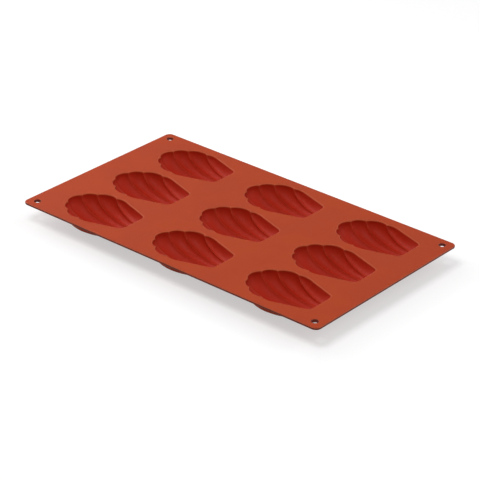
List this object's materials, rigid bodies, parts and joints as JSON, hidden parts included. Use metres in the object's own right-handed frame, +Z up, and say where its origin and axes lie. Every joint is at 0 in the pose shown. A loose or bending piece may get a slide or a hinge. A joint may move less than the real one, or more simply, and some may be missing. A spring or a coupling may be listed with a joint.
{
  "type": "silicone madeleine mould",
  "caption": "Flexible silicone baking sheet with rows of scallop-shell cups, pressed up from below to release small cakes, and a hanging hole at each corner.",
  "frame": {"origin": "on the standing plane, under the middle of the sheet", "axes": "+X along the sheet's long side, towards the shells' hinge ends; +Y along its short side, away from the front row; +Z up, out of the cups"},
  "size_m": [0.3, 0.175, 0.0178],
  "materials": {
    "silicone": "satin"
  },
  "bodies": {
    "sheet": {"sheet": "silicone"},
    "cup_front_left": {"cup_front_left": "silicone"},
    "cup_front_centre": {"cup_front_centre": "silicone"},
    "cup_front_right": {"cup_front_right": "silicone"},
    "cup_middle_left": {"cup_middle_left": "silicone"},
    "cup_middle_centre": {"cup_middle_centre": "silicone"},
    "cup_middle_right": {"cup_middle_right": "silicone"},
    "cup_back_left": {"cup_back_left": "silicone"},
    "cup_back_centre": {"cup_back_centre": "silicone"},
    "cup_back_right": {"cup_back_right": "silicone"}
  },
  "joints": [
    {"name": "press_front_left", "type": "slide", "parent": "sheet", "child": "cup_front_left", "axis": [0, 0, 1], "range_m": [0, 0.008], "stiffness_N_per_m": 1000},
    {"name": "press_front_centre", "type": "slide", "parent": "sheet", "child": "cup_front_centre", "axis": [0, 0, 1], "range_m": [0, 0.008], "stiffness_N_per_m": 1000},
    {"name": "press_front_right", "type": "slide", "parent": "sheet", "child": "cup_front_right", "axis": [0, 0, 1], "range_m": [0, 0.008], "stiffness_N_per_m": 1000},
    {"name": "press_middle_left", "type": "slide", "parent": "sheet", "child": "cup_middle_left", "axis": [0, 0, 1], "range_m": [0, 0.008], "stiffness_N_per_m": 1000},
    {"name": "press_middle_centre", "type": "slide", "parent": "sheet", "child": "cup_middle_centre", "axis": [0, 0, 1], "range_m": [0, 0.008], "stiffness_N_per_m": 1000},
    {"name": "press_middle_right", "type": "slide", "parent": "sheet", "child": "cup_middle_right", "axis": [0, 0, 1], "range_m": [0, 0.008], "stiffness_N_per_m": 1000},
    {"name": "press_back_left", "type": "slide", "parent": "sheet", "child": "cup_back_left", "axis": [0, 0, 1], "range_m": [0, 0.008], "stiffness_N_per_m": 1000},
    {"name": "press_back_centre", "type": "slide", "parent": "sheet", "child": "cup_back_centre", "axis": [0, 0, 1], "range_m": [0, 0.008], "stiffness_N_per_m": 1000},
    {"name": "press_back_right", "type": "slide", "parent": "sheet", "child": "cup_back_right", "axis": [0, 0, 1], "range_m": [0, 0.008], "stiffness_N_per_m": 1000}
  ]
}
